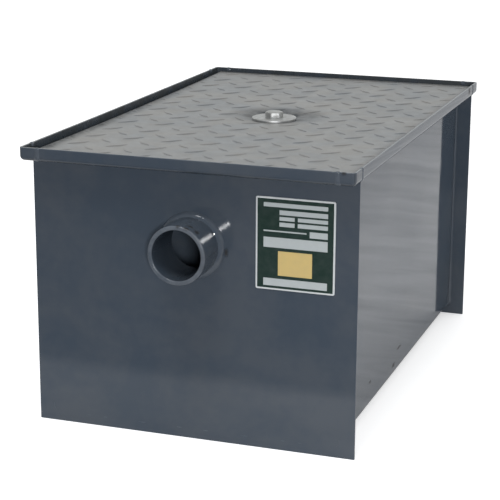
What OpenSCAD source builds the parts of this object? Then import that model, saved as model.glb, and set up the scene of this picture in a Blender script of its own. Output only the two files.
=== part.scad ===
// Steel grease trap: a welded sheet tank with a folded rim, a tread plate lid held by one bolt,
// pipe stubs at both ends and removable baffles inside.
// Millimetres, +Z up. The origin is on the floor under the middle of the tank, and -Y is the inlet end.

/* [Tank] */
// Width of the end plates
plate_w = 346; // [320:1:400]
// Length over the outer faces of the end plates
tank_l = 518; // [480:1:600]
// Height from the floor to the top of the rim
tank_h = 298; // [288:1:340]
// Thickness of the tank's sheet
sheet = 2.5; // [2:0.1:3]
// Inside radius of the folds
fold_r = 2.5; // [2:0.1:3.5]
// Distance of the side walls' outer faces from the end plates' edges
wall_inset = 18; // [14:0.5:26]
// Height of the tank's bottom above the foot of the end plates
bottom_lift = 12; // [6:0.5:20]

/* [Rim] */
// How far the rim stands out in front of the end plates
rim_end = 23.5; // [20:0.5:30]
// How far the rim stands out past the end plates' edges
rim_side = 1.75; // [0.5:0.25:4]
// Height of the rim above the underside of its flange
rim_h = 14; // [12:0.5:18]
// Width of a corner piece across the end of the tank
corner_w = 18; // [12:1:24]
// Radius of the rim's upright corners
corner_r = 4; // [3.5:0.5:8]

/* [Pipe stubs] */
// Outside diameter of the pipe
pipe_d = 60.3; // [48.3:0.1:76.1]
// Wall thickness of the pipe
pipe_wall = 4.5; // [3:0.1:6]
// Height of the pipe's axis above the floor
pipe_z = 206; // [170:1:220]
// Length of a stub outside its end plate
stub_out = 42.5; // [30:0.5:70]
// Length of a stub inside the tank
stub_in = 8; // [4:0.5:20]
// Width of the fillet weld round a stub
weld_leg = 5; // [3:0.5:8]
// Clearance of a stub in its hole
stub_clear = 0.2; // [0.1:0.05:0.5]

/* [Lid] */
// Thickness of the tread plate without its lugs
lid_t = 3.2; // [2.5:0.1:4.8]
// Gap between the lid and the rim at each side
lid_gap_side = 6; // [2:0.5:9]
// Gap between the lid and the rim at each end
lid_gap_end = 4; // [2:0.5:6]
// Thickness of the gasket under the lid
gasket_t = 2; // [1.5:0.1:3]
// Width of the gasket's band
gasket_w = 11; // [8:0.5:12]
// Distance of the gasket from the lid's edge
gasket_inset = 2; // [1:0.5:4]

/* [Dish] */
// Depth of the dish that the bolt has drawn into the lid
dish_depth = 3.2; // [0.5:0.1:4.5]
// Width of the flat ring in the dish round the washer
dish_land = 1; // [0.5:0.5:5]
// Width of the dish's slope
dish_run = 40; // [15:1:60]

/* [Tread] */
// Length of a raised lug
lug_l = 27; // [18:0.5:30]
// Width of a raised lug
lug_w = 7; // [4:0.5:9]
// Height of a raised lug at its crown
lug_h = 0.9; // [0.7:0.1:2]
// Height of a raised lug at its tips
lug_tip_h = 0.3; // [0.2:0.1:0.6]
// Pitch of the lugs that slant the same way
lug_pitch = 43.3; // [38:0.1:56]
// Place of the pattern across the lid
lug_shift_x = -11.5; // [-20:0.5:20]
// Place of the pattern along the lid
lug_shift_y = -1; // [-20:0.5:20]

/* [Hold-down bolt] */
// Distance of the bolt from the lid's middle, positive towards the outlet
bolt_y = 0; // [-40:1:40]
// Diameter of the bolt's shank
bolt_d = 12; // [8:1:14]
// Length of the shank under the head
bolt_l = 60; // [55:1:75]
// Width of the hexagon across its flats
hex_af = 18; // [15:0.5:22]
// Turn of the bolt's hexagon about its axis, in degrees
hex_turn = 26; // [0:1:60]
// Height of the bolt's head
head_h = 6.5; // [5:0.5:10]
// Diameter of the flat on top of the bolt's head
head_face_d = 17.2; // [12:0.1:20]
// Diameter of the big washer
washer_d = 50; // [36:1:60]
// Thickness of the big washer
washer_t = 2.5; // [1.5:0.1:4]
// Radial clearance of the bolt in the lid, the washer and the crossbar
bolt_clear = 0.75; // [0.5:0.05:1.5]
// Radial running clearance of the bolt in the nut
nut_clear = 0.06; // [0.02:0.01:0.1]

/* [Crossbar] */
// Width of the crossbar
bar_w = 40; // [32:1:60]
// Thickness of the crossbar
bar_t = 8; // [5:0.5:12]
// Distance of the crossbar's top below the underside of the rim's flange
bar_drop = 18; // [10:1:22]
// Gap at each end of the crossbar
bar_gap = 1; // [0.5:0.5:4]
// Height of the nut under the crossbar
nut_h = 10; // [7:0.5:12]
// Leg of the angle brackets that carry the crossbar
bracket_leg = 30; // [20:1:40]
// Thickness of the angle brackets
bracket_t = 4; // [3:0.5:6]

/* [Baffles] */
// Distance of the inlet baffle from the middle of the tank
inlet_baffle_y = 150; // [110:1:190]
// Distance of the outlet baffle from the middle of the tank
outlet_baffle_y = 95; // [60:1:120]
// Thickness of the baffles
baffle_t = 2; // [1.5:0.1:3]
// Height of the baffles' top edge above the floor
baffle_top = 236; // [210:1:250]
// Height of the openings at the baffles' feet
port_h = 58; // [30:1:80]
// Width of the inlet baffle's opening
inlet_port_w = 180; // [100:1:190]
// Width of each of the outlet baffle's openings
outlet_port_w = 52; // [30:1:58]
// Width of the web between the outlet baffle's openings
outlet_port_web = 14; // [10:1:18]
// Radius of the openings' corners
port_r = 8; // [3:0.5:12]
// Diameter of the finger holes
finger_d = 28; // [22:0.5:34]
// Distance between the finger holes
finger_spacing = 120; // [60:1:150]
// Distance of the finger holes from the baffles' top edge
finger_drop = 26; // [22:1:40]
// Thickness of the baffle guides
guide_t = 2; // [1.5:0.1:3]
// Depth of the baffle guides
guide_depth = 14; // [10:0.5:20]
// Clearance of a baffle in its guide, on each face and at each edge
guide_clear = 0.3; // [0.2:0.05:0.8]

/* [Outlet skirt] */
// Width of the skirt round the outlet
skirt_w = 112; // [94:1:140]
// Depth of the skirt from the outlet end plate
skirt_depth = 72; // [50:1:90]
// Height of the skirt's foot above the floor
skirt_foot = 62; // [40:1:90]
// Height of the skirt's top above the floor
skirt_top = 262; // [252:1:270]
// Thickness of the skirt
skirt_t = 2; // [1.5:0.1:3]

/* [Data plate] */
// Width of the data plate
label_w = 81.5; // [60:0.5:100]
// Height of the data plate
label_h = 94; // [60:0.5:110]
// Thickness of the data plate
label_t = 0.8; // [0.5:0.1:1.5]
// Distance of the data plate from the end plate's edge
label_edge = 23.5; // [10:0.5:40]
// Distance of the data plate's top below the rim's flange
label_drop = 21; // [10:0.5:40]
// Radius of the data plate's corners
label_r = 2; // [1:0.5:6]

/* [Hidden] */
$fn = 64;

// Half sizes and heights that several pieces share
plate_x = plate_w / 2;
end_y = tank_l / 2;
inner_y = end_y - sheet;
wall_x = plate_x - wall_inset;
inner_x = wall_x - sheet;
inner_floor = bottom_lift + sheet;
rim_x = plate_x + rim_side;
rim_y = end_y + rim_end;
flange_z = tank_h - rim_h;
flange_top = flange_z + sheet;
fold_end_z = flange_z - fold_r;
heel_r = fold_r + sheet;
end_flange_x = rim_x - corner_w;

// The lid lies on its gasket, which lies on the rim's flange, and the washer lies in the lid's dish
lid_z = flange_top + gasket_t;
lid_top = lid_z + lid_t;
lid_x = rim_x - sheet - lid_gap_side;
lid_y = rim_y - sheet - lid_gap_end;
dish_flat_r = washer_d / 2 + dish_land;
dish_r = dish_flat_r + dish_run;
washer_z = lid_top - dish_depth;
head_z = washer_z + washer_t;
bolt_hole_r = bolt_d / 2 + bolt_clear;

// The crossbar lies on its brackets, and the nut is welded under it
bar_top = flange_z - bar_drop;
bar_z = bar_top - bar_t;
bar_x = inner_x - bar_gap;

// The baffles stand on the tank's bottom, between guides on the side walls, clear of the folds
baffle_x = inner_x - max(guide_t, fold_r) - guide_clear;
guide_z = inner_floor + fold_r;
guide_slot = baffle_t + 2 * guide_clear;

// Length that cutting bodies run past the faces that they cut
over = 1;

// Colours of the paint, the bright steel, the rubber and the data plate
paint = [0.26, 0.29, 0.33];
bright = [0.78, 0.78, 0.76];
rubber = [0.08, 0.08, 0.08];
label_green = [0.09, 0.16, 0.13];

// One quarter turn of folded sheet, in the first quadrant before it is turned
module quarter_fold(turn) {
    rotate(turn)
        intersection() {
            difference() {
                circle(r = heel_r);
                circle(r = fold_r);
            }
            square(heel_r);
        }
}

// Section of a sheet that stands up behind x = 0, folds out into a flange and folds up into a lip
module rim_section(foot, reach) {
    translate([-sheet, foot])
        square([sheet, fold_end_z - foot]);
    translate([fold_r, fold_end_z])
        quarter_fold(90);
    translate([fold_r, flange_z])
        square([reach - heel_r - fold_r, sheet]);
    translate([reach - heel_r, flange_z + heel_r])
        quarter_fold(-90);
    translate([reach - sheet, flange_z + heel_r])
        square([sheet, rim_h - heel_r]);
}

// Section of one side of the tank's body: the fold up from the bottom, the wall, the flange and the lip
module body_side() {
    translate([wall_x - heel_r, bottom_lift + heel_r])
        quarter_fold(-90);
    translate([wall_x, 0])
        rim_section(bottom_lift + heel_r, rim_x - wall_x);
}

// The tank's bottom and side walls, folded from one sheet
module tank_body() {
    color(paint)
        translate([0, inner_y, 0])
            rotate([90, 0, 0])
                linear_extrude(2 * inner_y)
                    union() {
                        translate([heel_r - wall_x, bottom_lift])
                            square([2 * (wall_x - heel_r), sheet]);
                        body_side();
                        left()
                            body_side();
                    }
}

// An end plate at -Y: the plate down to the floor, its folded flange and lip, and the hole for the stub
module end_plate() {
    color(paint)
        difference() {
            union() {
                translate([-plate_x, -end_y, 0])
                    cube([plate_w, sheet, fold_end_z]);
                for (side = [-1, 1])
                    translate([side * (plate_x + end_flange_x) / 2, -end_y + sheet / 2, flange_z / 2])
                        cube([plate_x - end_flange_x, sheet, flange_z], center = true);
                translate([end_flange_x, -end_y, 0])
                    rotate([90, 0, -90])
                        linear_extrude(2 * end_flange_x)
                            rim_section(0, rim_end);
            }
            translate([0, -end_y - over, pipe_z])
                rotate([-90, 0, 0])
                    cylinder(r = pipe_d / 2 + stub_clear, h = sheet + 2 * over);
        }
}

// Upright section with a rounded outer heel, from the rim's inner side to its outer face
module heel_section(inside, reach, foot, r) {
    difference() {
        translate([inside, foot])
            square([reach - inside, tank_h - foot + over]);
        translate([reach - r, foot])
            difference() {
                square(r);
                translate([0, r])
                    circle(r = r);
            }
    }
}

// Filled corner of the rim at +X and -Y, with every face moved in by the inset
module corner_fill(inset) {
    inside_x = end_flange_x - inset;
    inside_y = inner_y - inset;
    plan_r = corner_r - inset;
    intersection() {
        rotate([90, 0, 0])
            linear_extrude(rim_y - inset)
                heel_section(inside_x, rim_x - inset, flange_z + inset, heel_r - inset);
        rotate([90, 0, -90])
            translate([0, 0, -rim_x + inset])
                linear_extrude(rim_x - inset)
                    heel_section(inside_y, rim_y - inset, flange_z + inset, heel_r - inset);
        translate([rim_x - inset - plan_r, -rim_y + inset + plan_r, flange_z])
            union() {
                cylinder(r = plan_r, h = rim_h + over);
                translate([-rim_x, -plan_r, 0])
                    cube([rim_x, rim_y, rim_h + over]);
                translate([-rim_x, 0, 0])
                    cube([rim_x + plan_r, rim_y, rim_h + over]);
            }
    }
}

// Pressed corner piece that closes the rim between a side wall and an end plate, at +X and -Y
module rim_corner() {
    color(paint)
        difference() {
            intersection() {
                corner_fill(0);
                translate([0, -2 * rim_y, 0])
                    cube([2 * rim_x, 2 * rim_y, tank_h]);
            }
            corner_fill(sheet);
        }
}

// A pipe stub with its fillet weld, at -Y
module stub() {
    weld_foot = pipe_d / 2 + weld_leg;
    color(paint)
        translate([0, -end_y, pipe_z])
            rotate([90, 0, 0])
                difference() {
                    union() {
                        translate([0, 0, -sheet - stub_in])
                            cylinder(d = pipe_d, h = stub_out + sheet + stub_in);
                        rotate_extrude()
                            polygon([
                                [pipe_d / 2 - pipe_wall / 2, 0],
                                [weld_foot, 0],
                                [pipe_d / 2, weld_leg],
                                [pipe_d / 2 - pipe_wall / 2, weld_leg]
                            ]);
                    }
                    translate([0, 0, -sheet - stub_in - over])
                        cylinder(d = pipe_d - 2 * pipe_wall, h = stub_out + sheet + stub_in + 2 * over);
                }
}

// Flat rubber band under the lid's edge
module lid_gasket() {
    outer_x = lid_x - gasket_inset;
    outer_y = lid_y - gasket_inset;
    color(rubber)
        translate([0, 0, flange_top])
            difference() {
                translate([-outer_x, -outer_y, 0])
                    cube([2 * outer_x, 2 * outer_y, gasket_t]);
                translate([gasket_w - outer_x, gasket_w - outer_y, -over])
                    cube([2 * (outer_x - gasket_w), 2 * (outer_y - gasket_w), gasket_t + 2 * over]);
            }
}

// Outline of one lug: the lens between two arcs, along x before it is turned
module lug_outline() {
    arc_r = (lug_l * lug_l / lug_w + lug_w) / 4;
    intersection() {
        translate([0, arc_r - lug_w / 2])
            circle(r = arc_r);
        translate([0, lug_w / 2 - arc_r])
            circle(r = arc_r);
    }
}

// One raised lug, rooted in the middle of the plate, its crown arched down to its tips
module lug() {
    drop = lug_h - lug_tip_h;
    crown_r = (lug_l * lug_l / 4 + drop * drop) / (2 * drop);
    intersection() {
        translate([0, 0, -lid_t / 2])
            linear_extrude(lid_t / 2 + lug_h + over)
                lug_outline();
        translate([0, 0, lug_h - crown_r])
            rotate([90, 0, 0])
                cylinder(r = crown_r, h = 2 * lug_w, center = true, $fn = 360);
    }
}

// Depth of the dish's slope at a distance from the bolt
function dish_drop(r) = dish_depth * max(0, dish_r - r) / dish_run;

// A lug at its place on the plate; in the dish it lies lower and leans with the slope
module placed_lug(x, y, slant) {
    r = norm([x, y - bolt_y]);
    way = atan2(y - bolt_y, x);
    inner = dish_drop(r - lug_l / 2);
    outer = dish_drop(r + lug_l / 2);
    lean = atan((inner - outer) / lug_l);
    translate([x, y, lid_top - (inner + outer) / 2])
        rotate(way)
            rotate([0, -lean, 0])
                rotate(slant - way)
                    lug();
}

// Lugs that slant one way, on a square pitch; those at the lid's edge are cut off with the plate,
// and those that would reach the washer are left out
module lug_field(slant, shift_x, shift_y) {
    reach = lug_l / 2;
    count_x = ceil(lid_x / lug_pitch) + 1;
    count_y = ceil(lid_y / lug_pitch) + 1;
    for (i = [-count_x:count_x], j = [-count_y:count_y]) {
        x = shift_x + i * lug_pitch;
        y = shift_y + j * lug_pitch;
        kept = norm([x, y - bolt_y]) > dish_flat_r + reach;
        if (kept && abs(x) < lid_x - reach && abs(y) < lid_y - reach)
            placed_lug(x, y, slant);
        else if (kept && abs(x) < lid_x && abs(y) < lid_y)
            intersection() {
                placed_lug(x, y, slant);
                translate([-lid_x, -lid_y, lid_z])
                    cube([2 * lid_x, 2 * lid_y, lid_t + lug_h + over]);
            }
    }
}

// The lid's plate without its lugs, dished round the bolt
module lid_plate() {
    difference() {
        union() {
            translate([-lid_x, -lid_y, lid_z])
                cube([2 * lid_x, 2 * lid_y, lid_t]);
            translate([0, bolt_y, lid_z - dish_depth])
                cylinder(r1 = dish_flat_r, r2 = dish_r, h = dish_depth);
        }
        translate([0, bolt_y, lid_top])
            rotate_extrude()
                polygon([
                    [0, -dish_depth],
                    [dish_flat_r, -dish_depth],
                    [dish_r, 0],
                    [dish_r, over],
                    [0, over]
                ]);
        translate([0, bolt_y, lid_z - dish_depth - over])
            cylinder(r = bolt_hole_r, h = lid_t + 2 * over);
    }
}

// Tread plate lid with raised lugs that slant two ways in turn
module lid() {
    color(paint)
        union() {
            lid_plate();
            lug_field(45, lug_shift_x, lug_shift_y);
            lug_field(-45, lug_shift_x + lug_pitch / 2, lug_shift_y + lug_pitch / 2);
        }
}

module lid_washer() {
    color(bright)
        translate([0, bolt_y, washer_z])
            difference() {
                cylinder(d = washer_d, h = washer_t);
                translate([0, 0, -over])
                    cylinder(r = bolt_hole_r, h = washer_t + 2 * over);
            }
}

// Hexagonal prism given by its width across flats
module hexagon(height) {
    cylinder(r = hex_af / (2 * cos(30)), h = height, $fn = 6);
}

// Hexagon bolt, its head's corners turned off by a cone
module lid_bolt() {
    color(bright)
        translate([0, bolt_y, head_z])
            union() {
                intersection() {
                    rotate(hex_turn)
                        hexagon(head_h);
                    cylinder(r1 = head_face_d / 2 + head_h * tan(60), r2 = head_face_d / 2, h = head_h);
                }
                translate([0, 0, -bolt_l])
                    cylinder(d = bolt_d, h = bolt_l);
            }
}

// Flat bar across the tank, with a clearance hole for the bolt
module crossbar() {
    color(paint)
        translate([0, bolt_y, bar_z])
            difference() {
                translate([-bar_x, -bar_w / 2, 0])
                    cube([2 * bar_x, bar_w, bar_t]);
                translate([0, 0, -over])
                    cylinder(r = bolt_hole_r, h = bar_t + 2 * over);
            }
}

module crossbar_nut() {
    color(bright)
        translate([0, bolt_y, bar_z - nut_h])
            difference() {
                hexagon(nut_h);
                translate([0, 0, -over])
                    cylinder(r = bolt_d / 2 + nut_clear, h = nut_h + 2 * over);
            }
}

// Angle bracket on a side wall under an end of the crossbar, on the +X side
module crossbar_bracket() {
    color(paint)
        translate([inner_x, bolt_y + bar_w / 2, bar_z])
            rotate([90, 0, 0])
                linear_extrude(bar_w)
                    polygon([
                        [0, 0],
                        [-bracket_leg, 0],
                        [-bracket_leg, -bracket_t],
                        [-bracket_t, -bracket_t],
                        [-bracket_t, -bracket_leg],
                        [0, -bracket_leg]
                    ]);
}

// Opening in the foot of a baffle, with rounded upper corners
module port(width) {
    translate([-width / 2, inner_floor - over])
        square([width, port_h - port_r + over]);
    translate([port_r - width / 2, inner_floor])
        square([width - 2 * port_r, port_h]);
    for (side = [-1, 1])
        translate([side * (width / 2 - port_r), inner_floor + port_h - port_r])
            circle(r = port_r);
}

// A removable baffle with finger holes; the openings in its foot are its children
module baffle(y) {
    color(paint)
        translate([0, y + baffle_t / 2, 0])
            rotate([90, 0, 0])
                linear_extrude(baffle_t)
                    difference() {
                        translate([-baffle_x, inner_floor])
                            square([2 * baffle_x, baffle_top - inner_floor]);
                        children();
                        for (side = [-1, 1])
                            translate([side * finger_spacing / 2, baffle_top - finger_drop])
                                circle(d = finger_d);
                    }
}

module inlet_baffle() {
    baffle(-inlet_baffle_y)
        port(inlet_port_w);
}

module outlet_baffle() {
    baffle(outlet_baffle_y)
        for (i = [-1:1])
            translate([i * (outlet_port_w + outlet_port_web), 0])
                port(outlet_port_w);
}

// Channel on a side wall that holds one edge of a baffle, on the +X side
module baffle_guide(y) {
    half = guide_slot / 2 + guide_t;
    color(paint)
        translate([inner_x, y, guide_z])
            linear_extrude(baffle_top - guide_z)
                difference() {
                    translate([-guide_depth, -half])
                        square([guide_depth, 2 * half]);
                    translate([-guide_depth - over, -guide_slot / 2])
                        square([guide_depth - guide_t + over, guide_slot]);
                }
}

// Plan of the folded skirt, open towards the outlet end plate
module skirt_plan(inset) {
    half = skirt_w / 2 - inset;
    front = inner_y - skirt_depth + inset;
    bend = heel_r - inset;
    translate([-half, front + bend])
        square([2 * half, skirt_depth - bend - inset]);
    translate([bend - half, front])
        square([2 * (half - bend), skirt_depth - inset]);
    for (side = [-1, 1])
        translate([side * (half - bend), front + bend])
            circle(r = bend);
}

// Skirt that makes the outlet draw from below the grease
module outlet_skirt() {
    color(paint)
        translate([0, 0, skirt_foot])
            difference() {
                linear_extrude(skirt_top - skirt_foot)
                    skirt_plan(0);
                translate([0, 0, -over])
                    linear_extrude(skirt_top - skirt_foot + 2 * over)
                        skirt_plan(skirt_t);
                translate([skirt_t - skirt_w / 2, inner_y - skirt_depth / 2, -over])
                    cube([skirt_w - 2 * skirt_t, skirt_depth, skirt_top - skirt_foot + 2 * over]);
            }
}

// Plain plate on the inlet end, with rounded corners
module data_plate() {
    color(label_green)
        translate([plate_x - label_edge - label_w, -end_y, flange_z - label_drop - label_h])
            rotate([90, 0, 0])
                linear_extrude(label_t)
                    union() {
                        translate([label_r, 0])
                            square([label_w - 2 * label_r, label_h]);
                        translate([0, label_r])
                            square([label_w, label_h - 2 * label_r]);
                        for (x = [label_r, label_w - label_r], y = [label_r, label_h - label_r])
                            translate([x, y])
                                circle(r = label_r);
                    }
}

module left() {
    mirror([1, 0, 0])
        children();
}

module outlet() {
    mirror([0, 1, 0])
        children();
}

tank_body();
end_plate();  // inlet_end_plate
outlet() end_plate();  // outlet_end_plate
left() rim_corner();  // rim_corner_inlet_left
rim_corner();  // rim_corner_inlet_right
left() outlet() rim_corner();  // rim_corner_outlet_left
outlet() rim_corner();  // rim_corner_outlet_right
stub();  // inlet_stub
outlet() stub();  // outlet_stub
lid_gasket();
lid();
lid_washer();
lid_bolt();
crossbar();
crossbar_nut();
left() crossbar_bracket();  // crossbar_bracket_left
crossbar_bracket();  // crossbar_bracket_right
inlet_baffle();
outlet_baffle();
left() baffle_guide(-inlet_baffle_y);  // inlet_guide_left
baffle_guide(-inlet_baffle_y);  // inlet_guide_right
left() baffle_guide(outlet_baffle_y);  // outlet_guide_left
baffle_guide(outlet_baffle_y);  // outlet_guide_right
outlet_skirt();
data_plate();
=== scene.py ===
"""Looks of a steel grease trap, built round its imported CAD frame. Metres, +Z up, inlet at -Y."""
import math

import bmesh
import bpy
import numpy as np
from bpy.props import FloatProperty, FloatVectorProperty, PointerProperty
from mathutils import Matrix, Vector


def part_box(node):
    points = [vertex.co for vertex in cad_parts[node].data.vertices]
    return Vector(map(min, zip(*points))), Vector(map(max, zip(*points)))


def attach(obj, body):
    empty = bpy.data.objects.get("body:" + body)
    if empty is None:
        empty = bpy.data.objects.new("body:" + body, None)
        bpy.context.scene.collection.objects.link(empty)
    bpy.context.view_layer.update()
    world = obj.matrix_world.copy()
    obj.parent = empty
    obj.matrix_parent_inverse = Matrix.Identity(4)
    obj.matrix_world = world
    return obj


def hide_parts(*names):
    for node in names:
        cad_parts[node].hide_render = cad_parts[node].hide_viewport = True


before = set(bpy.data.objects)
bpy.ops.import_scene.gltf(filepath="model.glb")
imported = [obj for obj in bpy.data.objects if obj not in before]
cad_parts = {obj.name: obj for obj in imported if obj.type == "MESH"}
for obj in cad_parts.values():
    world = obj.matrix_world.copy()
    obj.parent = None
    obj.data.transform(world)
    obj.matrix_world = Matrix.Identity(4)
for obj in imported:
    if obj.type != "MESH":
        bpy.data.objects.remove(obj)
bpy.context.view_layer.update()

bl_info = {
    "name": "Grease trap looks",
    "version": (1, 0, 0),
    "blender": (4, 5, 0),
    "location": "3D View > Sidebar > Grease trap",
    "description": "Dresses the packed CAD frame of a steel grease trap",
    "category": "Object",
}

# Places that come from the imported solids
CORNER_LOW, CORNER_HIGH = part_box("rim_corner_inlet_right")
PLATE_LOW, PLATE_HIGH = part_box("inlet_end_plate")
STUB_LOW, STUB_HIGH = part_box("inlet_stub")
LID_LOW, LID_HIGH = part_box("lid")
WASHER_LOW, WASHER_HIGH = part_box("lid_washer")
BOLT_LOW, BOLT_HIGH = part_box("lid_bolt")
LABEL_LOW, LABEL_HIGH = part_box("data_plate")

RIM_X, RIM_Y, RIM_TOP = CORNER_HIGH.x, -CORNER_LOW.y, CORNER_HIGH.z
FLANGE_X, FLANGE_Z = CORNER_LOW.x, CORNER_LOW.z
PLATE_X, INNER_Y = PLATE_HIGH.x, -PLATE_HIGH.y
INNER_X, BOTTOM_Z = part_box("crossbar_bracket_right")[1].x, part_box("tank_body")[0].z
PIPE_Z = (STUB_LOW.z + STUB_HIGH.z) / 2
BOLT_Y = (WASHER_LOW.y + WASHER_HIGH.y) / 2
LID_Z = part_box("lid_gasket")[1].z
# How close to a face a point counts as on it
SKIN = 0.001

MIRROR_X = np.array([-1.0, 1.0, 1.0])
MIRROR_Y = np.array([1.0, -1.0, 1.0])
AS_MADE = np.array([1.0, 1.0, 1.0])


def length(name, description, default):
    """A size in metres for the sidebar."""
    return FloatProperty(name=name, description=description, default=default, precision=5, unit="LENGTH")


def colour(name, description, default):
    """A linear colour for the sidebar."""
    return FloatVectorProperty(
        name=name, description=description, default=default, size=3, min=0.0, max=1.0, subtype="COLOR"
    )


def angle(name, description, degrees):
    """An angle for the sidebar, given in degrees."""
    return FloatProperty(
        name=name, description=description, default=math.radians(degrees), precision=4, subtype="ANGLE"
    )


def share(name, description, default):
    """A plain number for the sidebar."""
    return FloatProperty(name=name, description=description, default=default, precision=3)


class TrapSizes(bpy.types.PropertyGroup):
    """Sizes that the solids' boxes don't give."""

    sheet: length("Sheet", "Thickness of the tank's sheet", 0.0025)
    fold_r: length("Fold radius", "Inside radius of the folds", 0.0025)
    corner_r: length("Corner radius", "Radius of the rim's upright corners", 0.004)
    edge_r: length("Cut edge", "Rounding of the sheet's cut edges", 0.0005)
    # Band of rubbed paint and painted highlight under the rim's top
    rub_and_sheen_h: length("Rubbed and sheen band", "Height of the rubbed band under the rim's top", 0.0012)
    wall_wave: length("Wall wave", "How far the side walls bow in and out", 0.0003)
    pipe_r: length("Pipe radius", "Outside radius of the pipe stubs", 0.03015)
    bore_r: length("Bore radius", "Inside radius of the pipe stubs", 0.02565)
    mouth_r: length("Mouth edge", "Rounding of the stubs' mouths", 0.0011)
    weld_leg: length("Stub weld", "Leg of the fillet weld round a stub", 0.005)
    weld_ripple: length("Weld ripple", "Height of the ripples on the welds", 0.00003)
    hole_play: length("Stub hole play", "Clearance of a stub in its hole", 0.0002)
    lid_t: length("Lid plate", "Thickness of the tread plate without lugs", 0.0032)
    dish_land: length("Dish flat", "Width of the flat ring in the lid's dish round the washer", 0.001)
    dish_run: length("Dish slope", "Width of the slope of the lid's dish", 0.040)
    lid_bow: length("Lid bow", "How far the bolt's pull raises the lid's ends", 0.0016)
    lug_l: length("Lug length", "Length of a raised lug", 0.027)
    lug_w: length("Lug width", "Width of a raised lug", 0.007)
    lug_tip_h: length("Lug tip height", "Height of a lug at its tips", 0.0003)
    lug_pitch: length("Lug pitch", "Pitch of the lugs that slant the same way", 0.0433)
    lug_shift_x: length("Lug shift across", "Place of the pattern across the lid", -0.0115)
    lug_shift_y: length("Lug shift along", "Place of the pattern along the lid", -0.001)
    bolt_r: length("Bolt radius", "Outside radius of the bolt's thread", 0.006)
    bolt_play: length("Bolt play", "Radial clearance of the bolt in lid and washer", 0.00075)
    thread_pitch: length("Thread pitch", "Pitch of the bolt's thread", 0.00175)
    thread_depth: length("Thread depth", "Depth of the bolt's thread", 0.0009)
    hex_af: length("Hexagon", "Width of the bolt's head across its flats", 0.018)
    head_h: length("Head height", "Height of the bolt's head", 0.0065)
    head_face_r: length("Head face", "Radius of the flat on top of the head", 0.0086)
    hex_turn: angle("Hexagon turn", "Turn of the bolt's head about its axis", 26.0)
    label_r: length("Data plate corner", "Radius of the data plate's corners", 0.002)
    seam_r: length("Seam weld", "Radius of the beads between tank body and end plates", 0.0018)
    seam_foot: length("Seam foot", "Extra radius of those beads at the tank's foot", 0.0014)
    rim_seam_r: length("Rim weld", "Half width of the beads across the rim", 0.0026)


class TrapColours(bpy.types.PropertyGroup):
    """Colours of the finishes."""

    paint: colour("Paint", "Slate grey paint of the tank", (0.041, 0.055, 0.074))
    paint_cloud: colour("Paint cloud", "Lighter drift in the paint", (0.056, 0.067, 0.082))
    lid: colour("Lid paint", "Grey paint of the lid", (0.120, 0.129, 0.137))
    lid_cloud: colour("Lid cloud", "Warmer drift in the lid's paint", (0.157, 0.154, 0.147))
    # Rubbed paint, and painted highlight on the rim's top, the stubs' mouths and the pipes' tops
    worn: colour("Worn paint and sheen", "Rubbed paint on edges and crowns", (0.20, 0.215, 0.235))
    # Painted shade round the lid's washer, and a darker tone on the rim's channel faces and the lid's left
    # front edge
    grime: colour("Darkening", "Dark grime on the lid and in the rim's channel", (0.022, 0.027, 0.031))
    dust: colour("Dust", "Pale dust that lies on upper faces", (0.36, 0.35, 0.33))
    mark: colour("Marks", "Dark scuffs and spots on the tank", (0.010, 0.009, 0.008))
    steel: colour("Bright steel", "Zinc of the washer, bolt and nut", (0.52, 0.53, 0.53))
    steel_shade: colour("Steel shade", "Duller zinc", (0.36, 0.36, 0.35))
    rubber: colour("Rubber", "Gasket", (0.018, 0.018, 0.018))
    label_field: colour("Data plate field", "Dark green of the data plate", (0.012, 0.028, 0.022))
    label_metal: colour("Data plate border", "Bare metal border of the data plate", (0.62, 0.64, 0.64))
    label_pale: colour("Data plate boxes", "Pale blank boxes on the data plate", (0.42, 0.45, 0.45))
    label_gold: colour("Data plate gold", "Plain gold box on the data plate", (0.56, 0.42, 0.17))


class TrapStage(bpy.types.PropertyGroup):
    """Camera, floor and light."""

    azimuth: angle("Azimuth", "Turn of the camera about the part", 19.171)
    elevation: angle("Elevation", "Height angle of the camera", 15.226)
    roll: angle("Roll", "Roll of the camera", 0.282)
    distance: length("Distance", "Distance of the camera from its aim", 1.8)
    aim: FloatVectorProperty(
        name="Aim", description="Point that the camera looks at", default=(-0.0033, -0.0715, 0.1531),
        precision=5, subtype="TRANSLATION",
    )
    lens: share("Lens", "Focal length in millimetres on a 36 mm square", 116.35)
    floor: colour("Floor", "Pale floor", (0.90, 0.90, 0.90))
    far_floor: colour("Far floor", "Dimmer floor in front, as the part mirrors it", (0.20, 0.21, 0.23))
    floor_front: length("Pale floor's front", "Where the pale floor that the part mirrors ends", -0.43)
    floor_lift: share("Floor lift", "White that the floor adds towards the camera", 0.46)
    floor_cloud: share("Floor cloud", "Depth of the clouds on the floor, as the part mirrors it", 0.36)
    room: colour("Room", "Room behind the camera", (0.25, 0.27, 0.30))
    backdrop: colour("Backdrop", "Bright surround behind the part", (1.0, 1.0, 1.0))
    warm: colour("Warm haze", "Warm patches of the surround in mirror images", (1.0, 0.96, 0.88))
    cool: colour("Cool haze", "Cool patches of the surround in mirror images", (0.84, 0.90, 0.94))
    key_power: share("Key light", "Power of the soft light above in watts", 18.0)
    fill_power: share("Front light", "Power of the light beside the camera in watts", 25.0)


# Shapes: every shell is an array of points and a list of arrays of corner numbers


def grid_quads(rows, cols, close_rows=False, close_cols=False):
    """Corner numbers of a grid's quads; a closed direction joins its last line to its first."""
    i = np.arange(rows if close_rows else rows - 1)[:, None]
    j = np.arange(cols if close_cols else cols - 1)[None, :]
    next_i, next_j = (i + 1) % rows, (j + 1) % cols
    corners = (i * cols + j, i * cols + next_j, next_i * cols + next_j, next_i * cols + j)
    return np.stack(np.broadcast_arrays(*corners), -1).reshape(-1, 4)


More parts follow.
